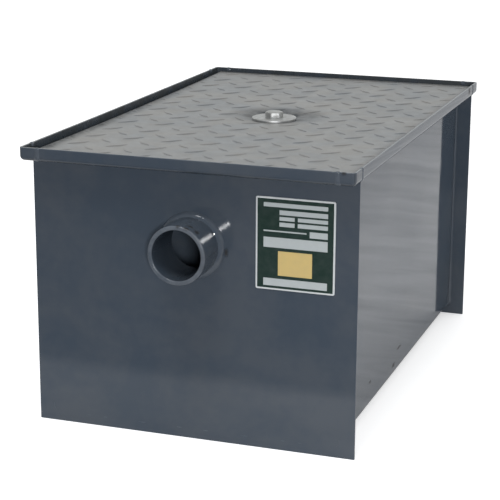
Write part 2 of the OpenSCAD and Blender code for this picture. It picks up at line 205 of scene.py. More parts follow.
def tube(points, closed=False):
    """Shell of rings of points, with flat ends, or with its last ring joined to its first."""
    rings, around = points.shape[:2]
    ring = np.arange(around)[None, :]
    ends = [] if closed else [ring, (rings - 1) * around + ring]
    return points.reshape(-1, 3), [grid_quads(rings, around, closed, True)] + ends


def unit(ways):
    """Each row's direction, at length 1."""
    return ways / np.linalg.norm(ways, axis=1)[:, None]


def way_along(path):
    """How far along a polyline each of its points is."""
    return np.concatenate([[0.0], np.cumsum(np.linalg.norm(np.diff(path, axis=0), axis=1))])


def join_shells(shells):
    """Several shells as one: the corner numbers of each start after the points of those before it."""
    counts = np.cumsum([0] + [len(points) for points, _ in shells])
    points = np.concatenate([points for points, _ in shells])
    faces = [group + first for (_, groups), first in zip(shells, counts) for group in groups]
    return points, faces


def drop_unused(points, faces):
    """The same shell without the points that no face uses."""
    used = np.unique(np.concatenate([group.ravel() for group in faces]))
    renumber = np.zeros(len(points), int)
    renumber[used] = np.arange(len(used))
    return points[used], [renumber[group] for group in faces]


def lines_between(*stops):
    """Grid lines from stop to stop: each stop after the first is (place, number of steps)."""
    runs = [np.array([stops[0]])]
    for place, steps in stops[1:]:
        runs.append(np.linspace(runs[-1][-1], place, steps + 1)[1:])
    return np.concatenate(runs)


def sheet_shell(outer, inner, present=None, joined=None):
    """Closed shell of sheet from two grids of points, one for each face.

    Each present cell gives a quad on both faces. Where a present cell has no present or joined
    neighbour, a quad across the thickness closes the edge. All cells are present unless told.
    """
    rows, cols = outer.shape[:2]
    if present is None:
        present = np.ones((rows - 1, cols - 1), bool)
    if joined is None:
        joined = np.zeros((rows - 1, cols - 1), bool)
    count = rows * cols
    number = np.arange(count).reshape(rows, cols)
    quads = np.stack([number[:-1, :-1], number[:-1, 1:], number[1:, 1:], number[1:, :-1]], -1)
    around = np.pad(present | joined, 1)
    edges = []
    for corner, (down, across) in enumerate(((-1, 0), (0, 1), (1, 0), (0, -1))):
        beside = around[1 + down:rows + down, 1 + across:cols + across]
        open_side = quads[present & ~beside]
        edges.append(open_side[:, [corner, (corner + 1) % 4]])
    edge = np.concatenate(edges)
    across = np.stack([edge[:, 1], edge[:, 0], edge[:, 0] + count, edge[:, 1] + count], -1)
    faces = [quads[present], quads[present][:, ::-1] + count, across]
    return np.concatenate([outer.reshape(-1, 3), inner.reshape(-1, 3)]), faces


def round_hole(points, faces, loop, count, centre, radius, plane):
    """Closes the window inside a loop of grid points down to a round hole, on both faces of a sheet.

    Each loop point gets a point on the circle in its own direction from the centre. Quads join loop
    and circle on both faces, and the two circles across the thickness. Plane names the two axes.
    """
    total = len(points)
    turn = np.arctan2(points[loop, plane[1]] - centre[1], points[loop, plane[0]] - centre[0])
    circles = []
    for face_loop in (loop, loop + count):
        ring = points[face_loop].copy()
        ring[:, plane[0]] = centre[0] + radius * np.cos(turn)
        ring[:, plane[1]] = centre[1] + radius * np.sin(turn)
        circles.append(ring)
    here = np.arange(len(loop))
    after = (here + 1) % len(loop)
    top, low = total + here, total + len(loop) + here
    top_after, low_after = total + after, total + len(loop) + after
    faces = faces + [
        np.stack([loop[here], loop[after], top_after, top], -1),
        np.stack([top, top_after, low_after, low], -1),
        np.stack([low, low_after, loop[after] + count, loop[here] + count], -1),
    ]
    return np.concatenate([points] + circles), faces


def window_loop(first_row, last_row, first_col, last_col, cols):
    """Numbers of the grid points round a window of cells, in order."""
    rows, columns = np.arange(first_row, last_row + 1), np.arange(first_col, last_col + 1)
    return np.concatenate([
        first_row * cols + columns[:-1],
        rows[:-1] * cols + last_col,
        last_row * cols + columns[:0:-1],
        rows[:0:-1] * cols + first_col,
    ])


def fold_rows(sizes, wall_lines, reach, steps=6):
    """Section of folded sheet as points (out, up) on its outer and inner face.

    The wall stands at out = 0, turns a quarter circle outwards into the flange and another upwards
    into the lip. On each turn the two faces share a centre, and their radii differ by the sheet.
    """
    small, big = sizes.fold_r, sizes.fold_r + sizes.sheet
    first = np.linspace(math.pi, math.pi / 2, steps + 1)
    second = np.linspace(-math.pi / 2, 0.0, steps + 1)
    turn_z, heel_z = FLANGE_Z - small, FLANGE_Z + big
    still = np.zeros(len(wall_lines) - 1)

    def face(wall_out, r1, r2, lip_out):
        return np.concatenate([
            np.stack([still + wall_out, wall_lines[:-1]], -1),
            np.stack([small + r1 * np.cos(first), turn_z + r1 * np.sin(first)], -1),
            np.stack([reach - big + r2 * np.cos(second), heel_z + r2 * np.sin(second)], -1),
            [[lip_out, RIM_TOP - sizes.rub_and_sheen_h], [lip_out, RIM_TOP]],
        ])

    return face(0.0, small, big, reach), face(-sizes.sheet, big, small, reach - sizes.sheet)


def body_half(sizes):
    """Right half of the tank body's section as points (x, z) on its outer and inner face.

    From the middle of the bottom it runs out to a quarter circle, up the wall, and on to the lip.
    """
    small, big = sizes.fold_r, sizes.fold_r + sizes.sheet
    wall_x = INNER_X + sizes.sheet
    turn = np.linspace(-math.pi / 2, 0.0, 7)[:-1]
    wall_lines = np.linspace(BOTTOM_Z + big, FLANGE_Z - small, 29)
    across = np.linspace(0.0, wall_x - big, 13)[:-1]

    def face(up, radius, fold):
        bottom = np.stack([across, np.full_like(across, up)], -1)
        bend = np.stack([wall_x - big + radius * np.cos(turn), BOTTOM_Z + big + radius * np.sin(turn)], -1)
        return np.concatenate([bottom, bend, fold + [wall_x, 0.0]])

    outer, inner = fold_rows(sizes, wall_lines, RIM_X - wall_x)
    return face(BOTTOM_Z, big, outer), face(BOTTOM_Z + sizes.sheet, small, inner)


def tank_body_shell(sizes):
    """Tank body: the folded section, half and mirrored half, carried along the tank.

    The walls bow by a product of slow waves that fade to nothing at the folds and the ends.
    """
    low, high = BOTTOM_Z + sizes.fold_r + sizes.sheet, FLANGE_Z - sizes.fold_r
    stations = np.linspace(-INNER_Y, INNER_Y, 73)

    def face(half):
        section = np.concatenate([half[:0:-1] * [-1.0, 1.0], half])
        x, up, y = section[:, :1], section[:, 1:], stations[None, :]
        height = np.clip((up - low) / (high - low), 0.0, 1.0)
        along = (y + INNER_Y) / (2 * INNER_Y)
        fade = np.sin(math.pi * height) ** 2 * np.sin(math.pi * along)
        bow = np.sin(7.0 * along + 2.6 * height) + 0.6 * np.cos(11.0 * along - 4.1 * height + 1.0)
        x = x + np.sign(x) * sizes.wall_wave * fade * bow
        return np.stack(np.broadcast_arrays(x, y, up), -1)

    return sheet_shell(*(face(half) for half in body_half(sizes)))


def end_plate_shell(sizes):
    """Inlet end plate: a flat blank whose middle folds into flange and lip, with a round hole.

    The columns beside the fold are straight ears that end under the corner pieces. A column of no
    width keeps ear and fold apart above the place where the fold starts.
    """
    end_y = INNER_Y + sizes.sheet
    fold_z = FLANGE_Z - sizes.fold_r
    hole_r = sizes.pipe_r + sizes.hole_play
    hole_margin, steps, beside, inside = 0.008, 6, 8, 10
    window = hole_r + hole_margin
    wall_lines = lines_between(PLATE_LOW.z, (PIPE_Z - window, beside), (PIPE_Z + window, inside), (fold_z, 2))
    middle = lines_between(-FLANGE_X, (-window, beside), (window, inside), (FLANGE_X, beside))
    columns = np.concatenate([[-PLATE_X], [-FLANGE_X], middle, [FLANGE_X], [PLATE_X]])
    outer, inner = fold_rows(sizes, wall_lines, RIM_Y - end_y, steps)
    rows, first_fold = len(outer), len(wall_lines) - 1
    ear = np.arange(len(columns))
    ear = (ear < 2) | (ear >= len(columns) - 2)
    ear_up = np.concatenate([
        wall_lines, fold_z + (FLANGE_Z - fold_z) * np.arange(1, rows - first_fold) / steps
    ])

    def face(section, ear_out):
        out = np.where(ear[None, :], ear_out, section[:, 0][:, None])
        up = np.where(ear[None, :], ear_up[:, None], section[:, 1][:, None])
        x = np.broadcast_to(columns[None, :], out.shape)
        return np.stack([x, -end_y - out, up], -1)

    present = np.ones((rows - 1, len(columns) - 1), bool)
    joined = ~present
    present[:, [1, -2]] = False
    joined[:first_fold, [1, -2]] = True
    present[first_fold + steps:, [0, -1]] = False
    low, left = beside, 2 + beside
    high, right = low + inside, left + inside
    present[low:high, left:right] = False
    joined[low:high, left:right] = True
    points, faces = sheet_shell(face(outer, 0.0), face(inner, -sizes.sheet), present, joined)
    loop = window_loop(low, high, left, right, len(columns))
    return drop_unused(*round_hole(points, faces, loop, rows * len(columns), (0.0, PIPE_Z), hole_r, (0, 2)))


def rim_corner_shell(sizes):
    """Pressed corner at the inlet's right: the rim's section carried round the corner.

    A row is an inset from the rim's face. At each inset the path is a straight leg, a quarter
    circle whose radius shrinks by the inset, and another straight leg.
    """
    big, small = sizes.fold_r + sizes.sheet, sizes.fold_r
    flange = lines_between(RIM_X - FLANGE_X, (big, 8))
    turn = np.linspace(-math.pi / 2, 0.0, 7)[1:]
    arc = np.linspace(-math.pi / 2, 0.0, 9)[None, :]
    leg = np.linspace(0.0, 1.0, 4)[None, :]

    def face(radius, lip_inset, flange_up):
        inset = np.concatenate([flange, big - radius * np.cos(turn), [lip_inset, lip_inset]])[:, None]
        up = np.concatenate([
            np.full(len(flange), flange_up), FLANGE_Z + big + radius * np.sin(turn),
            [RIM_TOP - sizes.rub_and_sheen_h, RIM_TOP],
        ])[:, None]
        bend = np.maximum(sizes.corner_r - inset, 0.0)
        centre_x, centre_y = RIM_X - inset - bend, -RIM_Y + inset + bend
        leg_x = FLANGE_X + (centre_x - FLANGE_X) * leg
        leg_y = centre_y + (-INNER_Y - centre_y) * leg
        still = 0 * leg[:, 1:]
        x = np.concatenate([leg_x[:, :-1], centre_x + bend * np.cos(arc), centre_x + bend + still], 1)
        y = np.concatenate([centre_y - bend + still, centre_y + bend * np.sin(arc), leg_y[:, 1:]], 1)
        return np.stack(np.broadcast_arrays(x, y, up), -1)

    return sheet_shell(face(big, 0.0, FLANGE_Z), face(small, sizes.sheet, FLANGE_Z + sizes.sheet))


def stub_shell(sizes):
    """Inlet stub: a closed profile (radius, way out) turned round the pipe's axis.

    The fillet weld is a straight slope with a low swell; ripples and a slow wander in its width
    follow sums of cosines of the turn.
    """
    steps, swell_h, wander_h = 480, 0.0005, 0.00010
    turn = np.linspace(0.0, 2 * math.pi, steps, endpoint=False)[None, :]
    end_y = INNER_Y + sizes.sheet
    out, back = -STUB_LOW.y - end_y, STUB_HIGH.y + end_y
    mouth = np.linspace(0.0, math.pi / 2, 6)
    bore, pipe, edge, foot = sizes.bore_r, sizes.pipe_r, sizes.mouth_r, sizes.weld_leg
    slope = np.linspace(0.0, 1.0, 10)
    swell = swell_h * np.sin(math.pi * slope)
    radius = np.concatenate([
        [bore, bore, bore], bore + edge * (1 - np.cos(mouth[1:])), pipe - edge * (1 - np.sin(mouth)),
        [pipe, pipe], pipe + foot * slope + swell, [pipe, pipe],
    ])
    along = np.concatenate([
        [-back, out - 2 * edge, out - edge], out - edge * (1 - np.sin(mouth[1:])),
        out - edge * (1 - np.cos(mouth)), [out - 2 * edge, 1.3 * foot],
        foot * (1 - slope) + swell, [0.0, -back],
    ])
    on_weld = np.zeros(len(radius))
    on_weld[-2 - len(slope):-2] = np.sin(math.pi * slope)
    ripple = sizes.weld_ripple * np.cos(46 * turn + 0.9 * np.sin(3 * turn))
    wander = wander_h * (np.cos(5 * turn + 0.7) + np.cos(9 * turn + 2.0) + 0.6 * np.cos(2 * turn))
    lift = on_weld[:, None] * (ripple + wander)
    radius, along = radius[:, None] + lift, along[:, None] + lift
    points = np.stack([radius * np.cos(turn), -end_y - along, PIPE_Z + radius * np.sin(turn)], -1)
    return tube(points, closed=True)


def dish_flat(sizes):
    """Radius of the flat in the lid's dish."""
    return (WASHER_HIGH.x - WASHER_LOW.x) / 2 + sizes.dish_land


def dish_drop(sizes, x, y):
    """Depth of the lid's dish: full as far as its flat, then the square of the slope's share that is left."""
    left = np.clip(1 - (np.hypot(x, y - BOLT_Y) - dish_flat(sizes)) / sizes.dish_run, 0.0, 1.0)
    return (LID_Z - LID_LOW.z) * left ** 2


def lid_rise(sizes, x, y):
    """Height of the bent lid over a flat one: a bow with the square of the way along it, less the dish."""
    return sizes.lid_bow * (y / LID_HIGH.y) ** 2 - dish_drop(sizes, x, y)


def lid_plate_shell(sizes):
    """Plain plate of the lid: a grid that follows bow and dish, with a round bolt hole.

    Its outermost line drops by the edge's rounding. The lines are close together across the dish.
    """
    edge, hole_r = sizes.edge_r, sizes.bolt_r + sizes.bolt_play
    hole_margin, bowl_margin, dark_band = 0.0035, 0.002, 0.020
    window, bowl = hole_r + hole_margin, dish_flat(sizes) + sizes.dish_run + bowl_margin
    inside, slope = 8, 26
    across = lines_between(
        LID_LOW.x, (LID_LOW.x + edge, 1), (LID_LOW.x + dark_band, 5), (-bowl, 9), (-window, slope),
        (window, inside), (bowl, slope), (LID_HIGH.x - edge, 10), (LID_HIGH.x, 1),
    )
    along = lines_between(
        LID_LOW.y, (LID_LOW.y + edge, 1), (BOLT_Y - bowl, 20), (BOLT_Y - window, slope),
        (BOLT_Y + window, inside), (BOLT_Y + bowl, slope), (LID_HIGH.y - edge, 20), (LID_HIGH.y, 1),
    )
    rows, cols = len(along), len(across)
    y, x = np.meshgrid(along, across, indexing="ij")
    present = np.ones((rows - 1, cols - 1), bool)
    rim = np.pad(np.zeros((rows - 2, cols - 2), bool), 1, constant_values=True)
    under = np.stack([x, y, LID_Z + lid_rise(sizes, x, y)], -1)
    upper = under + np.stack([0 * x, 0 * x, sizes.lid_t - edge * rim], -1)
    low, left = np.argmin(np.abs(along - BOLT_Y + window)), np.argmin(np.abs(across + window))
    high, right = low + inside, left + inside
    present[low:high, left:right] = False
    points, faces = sheet_shell(upper, under, present, ~present)
    loop = window_loop(low, high, left, right, cols)
    return drop_unused(*round_hole(points, faces, loop, rows * cols, (0.0, BOLT_Y), hole_r, (0, 1)))


# Rings of a lug, from its root to its flat: inset from the outline in metres, and share of the height
LUG_RINGS = ((-0.0002, -0.3), (0.0002, 0.12), (0.0006, 0.50), (0.0010, 0.82), (0.0015, 0.97), (0.0021, 1.0))


def lug_shell(sizes):
    """Raised lugs of the lid, all at once: rings of a lens outline, each drawn in and lifted.

    Half the lens's width is root(R R - s s) less (R - w / 2) at the place s along it. The crown is an
    arc from tip to tip. The two slants alternate, half a pitch apart both ways. What stands past the
    plate's edge is pushed back to the edge, where the lug runs out. Lugs follow bow and dish, and none
    stands in the dish's middle.
    """
    steps, gap, fade, tip_inset = 8, 0.0002, 0.004, 2.2
    half_l, half_w = sizes.lug_l / 2, sizes.lug_w / 2
    top = LID_Z + sizes.lid_t
    crown_h = LID_HIGH.z - top
    drop = crown_h - sizes.lug_tip_h
    arc_r = (half_l ** 2 / half_w + half_w) / 2
    crown_r = (half_l ** 2 + drop ** 2) / (2 * drop)
    inset, lift = np.array(LUG_RINGS).T[:, :, None]
    share = np.sin(np.linspace(-math.pi / 2, math.pi / 2, steps + 1))
    share = np.concatenate([share, share[-2:0:-1]])[None, :]
    side = np.where(np.arange(2 * steps) <= steps, 1.0, -1.0)[None, :]
    lens = np.sqrt(arc_r ** 2 - (half_l * share) ** 2) - (arc_r - half_w)
    s = (half_l - tip_inset * inset) * share
    t = side * lens * (half_w - inset) / half_w
    up = top + lift * (crown_h - crown_r + np.sqrt(crown_r ** 2 - s ** 2))

    pitch = sizes.lug_pitch
    count = np.arange(-math.ceil(LID_HIGH.y / pitch) - 1, math.ceil(LID_HIGH.y / pitch) + 2)
    grid = np.stack(np.meshgrid(count * pitch, count * pitch, indexing="ij"), -1).reshape(-1, 2)
    grid = grid + [sizes.lug_shift_x, sizes.lug_shift_y]
    bare_r = dish_flat(sizes) + half_l
    fields = []
    for slant, shift in ((1.0, 0.0), (-1.0, pitch / 2)):
        middle = grid + shift
        middle = middle[(np.abs(middle[:, 0]) < LID_HIGH.x) & (np.abs(middle[:, 1]) < LID_HIGH.y)]
        middle = middle[np.hypot(middle[:, 0], middle[:, 1] - BOLT_Y) > bare_r]
        x = middle[:, 0, None, None] + (s - slant * t) / math.sqrt(2)
        y = middle[:, 1, None, None] + (slant * s + t) / math.sqrt(2)
        fields.append(np.stack(np.broadcast_arrays(x, y, up), -1))
    points = np.concatenate(fields)
    edge = np.array([LID_HIGH.x, LID_HIGH.y]) - gap
    points[..., :2] = np.clip(points[..., :2], -edge, edge)
    inward = np.min(edge - np.abs(points[..., :2]), -1)
    root = top - sizes.edge_r
    points[..., 2] = root + (points[..., 2] - root) * np.clip(inward / fade, 0.0, 1.0)
    points[..., 2] += lid_rise(sizes, points[..., 0], points[..., 1])

    lugs, rings, around = points.shape[:3]
    first = (np.arange(lugs) * rings * around)[:, None, None]
    sides = grid_quads(rings, around, False, True)[None] + first
    upper = (rings - 1) * around + np.arange(1, steps)
    lower = (rings - 1) * around + 2 * steps - np.arange(1, steps)
    flat = np.stack([upper[:-1], upper[1:], lower[1:], lower[:-1]], -1)[None] + first
    last = (rings - 1) * around
    tips = np.array([[last, upper[0], lower[0]], [last + steps, lower[-1], upper[-1]]])[None] + first
    root_flat = np.arange(around)[None, None, :] + first
    faces = [sides.reshape(-1, 4), flat.reshape(-1, 4), tips.reshape(-1, 3), root_flat.reshape(-1, around)]
    return points.reshape(-1, 3), faces


def washer_shell(sizes):
    """Big washer: a rectangle with rounded corners turned about the bolt's axis."""
    steps, edge = 96, sizes.edge_r
    turn = np.linspace(0.0, 2 * math.pi, steps, endpoint=False)[None, :]
    hole_r, rim_r = sizes.bolt_r + sizes.bolt_play, (WASHER_HIGH.x - WASHER_LOW.x) / 2
    quarter = np.linspace(0.0, math.pi / 2, 5)
    corners = (
        (rim_r - edge, WASHER_LOW.z + edge, -math.pi / 2), (rim_r - edge, WASHER_HIGH.z - edge, 0.0),
        (hole_r + edge, WASHER_HIGH.z - edge, math.pi / 2), (hole_r + edge, WASHER_LOW.z + edge, math.pi),
    )
    radius = np.concatenate([r + edge * np.cos(quarter + start) for r, _, start in corners])[:, None]
    up = np.concatenate([z + edge * np.sin(quarter + start) for _, z, start in corners])[:, None]
    points = np.stack(np.broadcast_arrays(radius * np.cos(turn), BOLT_Y + radius * np.sin(turn), up), -1)
    return tube(points, closed=True)


def bolt_shell(sizes):
    """Hexagon bolt: rows of (radius by turn, height) from the head's flat down to the tip.

    A hexagon's radius is half its width across flats over the cosine of the turn from the nearest
    flat. A cone takes the corners off. The thread is a triangle wave of height less turn.
    """
    steps, shank_rows = 72, 216
    edge, plain, run_in, blunt, drawn_in, corner_cut = 0.0003, 0.004, 0.002, 0.72, 0.985, 1.135
    turn = np.linspace(0.0, 2 * math.pi, steps, endpoint=False)
    from_flat = (turn - sizes.hex_turn) % (math.pi / 3) - math.pi / 6
    flats = sizes.hex_af / 2 * np.minimum(1 / np.cos(from_flat), corner_cut)
    top, tip, face_r = BOLT_HIGH.z, BOLT_LOW.z, sizes.head_face_r
    seat = top - sizes.head_h
    bevel = top - (flats - face_r) / math.tan(math.radians(60))
    head_r = np.stack(np.broadcast_arrays(
        face_r * 0.5, face_r * 0.97, flats * drawn_in, flats, flats, flats * drawn_in, sizes.bolt_r))
    head_z = np.stack(np.broadcast_arrays(top, top, bevel, bevel - edge, seat + edge, seat, seat))
    shank_z = np.linspace(seat, tip, shank_rows)[1:, None]
    wave = np.abs((shank_z / sizes.thread_pitch - turn / (2 * math.pi)) % 1.0 - 0.5) * 2
    depth = sizes.thread_depth * np.clip((seat - plain - shank_z) / run_in, 0.0, 1.0)
    shank_r = np.minimum(sizes.bolt_r - depth * wave, sizes.bolt_r * blunt + shank_z - tip)
    radius = np.concatenate([head_r, shank_r])
    up = np.concatenate([head_z, np.broadcast_to(shank_z, shank_r.shape)])
    return tube(np.stack([radius * np.cos(turn), BOLT_Y + radius * np.sin(turn), up], -1))


# Fields of the data plate: left, bottom, right, top as shares of the plate, and the colour's name
LABEL_FIELDS = (
    (0.022, 0.019, 0.978, 0.981, "label_field"),
    (0.100, 0.895, 0.905, 0.940, "label_pale"),
    (0.300, 0.815, 0.905, 0.865, "label_pale"),
    (0.300, 0.755, 0.490, 0.795, "label_pale"),
    (0.530, 0.755, 0.905, 0.795, "label_pale"),
    (0.300, 0.690, 0.490, 0.735, "label_pale"),
    (0.530, 0.690, 0.905, 0.735, "label_pale"),
    (0.100, 0.630, 0.640, 0.645, "label_pale"),
    (0.680, 0.594, 0.905, 0.660, "label_pale"),
    (0.100, 0.460, 0.905, 0.570, "label_pale"),
    (0.285, 0.160, 0.715, 0.425, "label_gold"),
    (0.100, 0.045, 0.905, 0.125, "label_pale"),
)


def label_shell(sizes):
    """Data plate: a slab on grid lines that run along every field's edges, with rounded corners.

    In each corner square a point (a, b) goes to (a root(1 - b b / 2), b root(1 - a a / 2)), which
    bends the square into a quarter disc.
    """
    wide, tall = LABEL_HIGH.x - LABEL_LOW.x, LABEL_HIGH.z - LABEL_LOW.z
    r, edge = sizes.label_r, 0.0003
    corner = r * np.array([0.0, 0.15, 0.35, 0.6, 0.8, 1.0])
    fields = np.array([field[:4] for field in LABEL_FIELDS])
    x, z = (
        np.unique(np.round(np.concatenate([corner, size - corner, fields[:, ends].ravel() * size]), 6))
        for size, ends in ((wide, [0, 2]), (tall, [1, 3]))
    )
    grid_z, grid_x = np.meshgrid(z, x, indexing="ij")
    mid_x, mid_z = np.clip(grid_x, r, wide - r), np.clip(grid_z, r, tall - r)
    a, b = (grid_x - mid_x) / r, (grid_z - mid_z) / r
    put_x = LABEL_LOW.x + mid_x + r * a * np.sqrt(1 - b * b / 2)
    put_z = LABEL_LOW.z + mid_z + r * b * np.sqrt(1 - a * a / 2)
    rim = (grid_x == x[0]) | (grid_x == x[-1]) | (grid_z == z[0]) | (grid_z == z[-1])
    front = LABEL_LOW.y + edge * rim
    outer = np.stack([put_x, front, put_z], -1)
    inner = np.stack([put_x, np.full_like(put_x, LABEL_HIGH.y), put_z], -1)
    return sheet_shell(outer, inner)


def bead_shell(path, lift, radius, rise, ripple, seed):
    """Weld bead along a path: a round section, half sunk, whose height ripples and wanders.

    Lift gives the direction away from the seam at each point. The section's radius is the bead's
    radius times a ripple, and falls to a small round end at both ends. Rise is its height over its width.
    """
    around, ripple_l = 10, 0.0024
    step = unit(np.gradient(path, axis=0))
    lift = unit(lift - step * np.sum(lift * step, 1)[:, None])
    side = np.cross(step, lift)
    way = way_along(path)
    ends = np.minimum(np.minimum(way, way[-1] - way) / radius, 1.0)
    size = radius * np.sqrt(1 - (1 - ends) ** 2 * 0.98)
    size = size * (1 + 0.12 * np.sin(way * 310 + seed) + 0.10 * np.sin(way * 127 + 2.3 * seed))
    size = size + ripple * np.cos(way * 2 * math.pi / ripple_l) * ends
    turn = np.linspace(0.0, 2 * math.pi, around, endpoint=False)[None, :, None]
    section = np.cos(turn) * side[:, None, :] + rise * np.sin(turn) * lift[:, None, :]
    return tube(path[:, None, :] + size[:, None, None] * section)


def resample(path, spacing):
    """Points at even spacing along a polyline."""
    way = way_along(path)
    stops = np.linspace(0.0, way[-1], max(int(way[-1] / spacing), 8))
    return np.stack([np.interp(stops, way, path[:, k]) for k in range(3)], -1)


def rim_path(section, sheet):
    """Path of a rim weld over a folded section: under the flange, up the lip and over its top."""
    reach = section[-1, 0]
    edge, inside, under = 0.0005, 0.005, 8
    over = [
        [reach, RIM_TOP - edge], [reach - sheet / 2, RIM_TOP], [reach - sheet, RIM_TOP - edge],
        [reach - sheet, RIM_TOP - inside],
    ]
    return np.concatenate([section[under:-1], over])


def seam_shells(sizes):
    """Weld beads of the tank, for the quarter at the inlet's right, copied to all four quarters.

    Two beads follow the rim's section beside the corner piece. One runs in the corner of end plate and
    tank body, along the bottom and up the wall; there the way out of the corner is the sum of the
    section's normal and the end plate's.
    """
    end_y, wall_x = INNER_Y + sizes.sheet, INNER_X + sizes.sheet
    fold = np.array([FLANGE_Z - sizes.fold_r])
    on_end = rim_path(fold_rows(sizes, fold, RIM_Y - end_y)[0], sizes.sheet)
    on_side = rim_path(fold_rows(sizes, fold, RIM_X - wall_x)[0], sizes.sheet)
    outer = body_half(sizes)[0]
    corner = outer[outer[:, 0] <= wall_x + 1e-6]
    spacing, foot_top, foot_fade = 0.0006, 0.055, 0.02
    paths = (
        ((FLANGE_X, -end_y - on_end[:, 0], on_end[:, 1]), (1.0, 0.0), sizes.rim_seam_r, 0.25),
        ((wall_x + on_side[:, 0], -INNER_Y, on_side[:, 1]), (0.0, 1.0), sizes.rim_seam_r, 0.25),
        ((corner[:, 0], -INNER_Y, corner[:, 1]), None, sizes.seam_r, 0.6),
    )
    shells = []
    for seed, (axes, plane, radius, rise) in enumerate(paths):
        line = resample(np.stack(np.broadcast_arrays(*axes), -1), spacing)
        step = np.gradient(line, axis=0)
        if plane is None:
            lift = unit(np.stack([step[:, 2], 0 * step[:, 2], -step[:, 0]], -1)) + [0.0, 1.0, 0.0]
            line = line + 0.25 * radius * lift
            radius = radius + sizes.seam_foot * np.clip((foot_top - line[:, 2]) / foot_fade, 0.0, 1.0)
        else:
            lift = np.cross(step, [plane[0], -plane[1], 0.0])
        points, faces = bead_shell(line, lift, radius, rise, sizes.weld_ripple, seed + 1.0)
        for side in (AS_MADE, MIRROR_X, MIRROR_Y, MIRROR_X * MIRROR_Y):
            shells.append((bent_corner(points * side), faces))
    return join_shells(shells)


# How far the rim's left front corner is bent outwards
CORNER_BEND = 0.0024


def bend_at(points):
    """How far the bend takes the rim's left lip: its full measure times the square of the way forward."""
    return CORNER_BEND * (points[:, 0] < 0) * np.clip(-points[:, 1] / RIM_Y, 0.0, 1.0) ** 2


def bent_corner(points):
    """Points of the rim with its left front corner bent outwards, evenly more across the flange."""
    across = np.clip((-points[:, 0] - FLANGE_X) / (RIM_X - FLANGE_X), 0.0, 1.0)
    shift = bend_at(points) * across * (points[:, 2] > FLANGE_Z - SKIN)
    return points - shift[:, None] * [1.0, 0.0, 0.0]


# Pieces


def make_piece(name, shell, body, slot, replaced=(), bevel=0.0, sharp=35.0, **masks):
    """Puts a closed shell into a mesh with merged seams and outward faces, and rides it on its body.

    The slot names its finish. Each mask gives an attribute's value from the points: rubbed paint with painted
    highlight, darkening that is partly painted shade, or dull for added roughness.
    """
    points, faces = shell
    mesh = bpy.data.meshes.new(name)
    mesh.from_pydata(points.tolist(), [], [face for group in faces for face in group.tolist()])
    work = bmesh.new()
    work.from_mesh(mesh)
    bmesh.ops.remove_doubles(work, verts=work.verts, dist=1e-6)
    bmesh.ops.recalc_face_normals(work, faces=work.faces)
    work.to_mesh(mesh)
    work.free()
    mesh.shade_smooth()
    mesh.set_sharp_from_angle(angle=math.radians(sharp))
    place = np.zeros(len(mesh.vertices) * 3, np.float32)
    mesh.vertices.foreach_get("co", place)
    for label, mask in masks.items():
        layer = mesh.attributes.new(label, "FLOAT", "POINT")
        layer.data.foreach_set("value", mask(place.reshape(-1, 3)).astype(np.float32))
    piece = bpy.data.objects.new(name, mesh)
    bpy.context.scene.collection.objects.link(piece)
    mesh.materials.append(finish(slot))
    if bevel:
        rounding = piece.modifiers.new("Cut edges", "BEVEL")
        rounding.width = bevel
        rounding.segments = 2
        rounding.limit_method = "ANGLE"
        rounding.angle_limit = math.radians(50)
        rounding.harden_normals = True
    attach(piece, body)
    if replaced:
        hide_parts(*replaced)
    return piece


def worn_on_rim(points):
    """Rubbed paint and a painted highlight on the tank: only at the rim's top."""
    return np.clip((points[:, 2] - RIM_TOP + SKIN) / SKIN, 0.0, 1.0)


def grime_on_lid(points):
    """Darkening of the lid: painted shade round the washer, more behind it than in front, and a darker tone
    along the left edge's front.
    """
    halo, halo_fade, band_fade = 0.062, 0.032, 0.009
    x, y = points[:, 0], points[:, 1] - BOLT_Y
    far = np.hypot(x, y)
    behind = 0.55 + 0.45 * y / np.maximum(far, 1e-6)
    ahead = np.clip(0.5 - 0.5 * points[:, 1] / LID_HIGH.y, 0.0, 1.0)
    beside = ahead * np.clip(1.5 - (x - LID_LOW.x) / band_fade, 0.0, 0.9)
    return np.maximum(behind * np.clip((halo - far) / halo_fade, 0.0, 1.0), beside)


def grime_in_rim(points):
    """Darker tone of the rim: on the faces that look into its channel."""
    x, y, z = np.abs(points.T)
    return 0.9 * ((x - bend_at(points) < RIM_X - SKIN) & (y < RIM_Y - SKIN) & (z > FLANGE_Z + SKIN))


def worn_on_seams(points):
    """Wear of the welds' paint: only on those across the rim."""
    return 0.5 * (points[:, 2] > FLANGE_Z)


def dull_on_seams(points):
    """Added roughness of the welds: only on those below the rim."""
    return 0.5 * (points[:, 2] < FLANGE_Z)


def worn_on_stub(points):
    """Rubbed paint and painted highlight of a stub: strongest on the mouth's edges, lighter on the weld's
    crest, and a painted highlight on the pipe's top.
    """
    mouth_band, crest, crest_half, crown_r = 0.0016, 0.0045, 0.003, 0.030
    out = np.abs(points[:, 1]) - INNER_Y
    mouth = np.clip((out + STUB_LOW.y + INNER_Y + mouth_band) / mouth_band, 0.0, 1.0)
    weld = np.clip(1 - np.abs(out - crest) / crest_half, 0.0, 1.0)
    crown = np.clip((points[:, 2] - PIPE_Z) / crown_r - 0.7, 0.0, 0.3)
    return np.maximum(np.maximum(1.4 * mouth, 0.35 * weld), crown)


def dull_on_stub(points):
    """Added roughness of a stub: only on the pipe, past the weld."""
    weld_end = 0.0085
    return 0.15 * (np.abs(points[:, 1]) - INNER_Y > weld_end)


# Materials


def put(tree, kind, inputs=None, **settings):
    """Adds a node with its settings; an input is a value or another node's output."""
    node = tree.nodes.new(kind)
    for key, value in settings.items():
        setattr(node, key, value)
    for socket, value in (inputs or {}).items():
        if isinstance(value, bpy.types.NodeSocket):
            tree.links.new(value, node.inputs[socket])
        else:
            node.inputs[socket].default_value = value
    return node


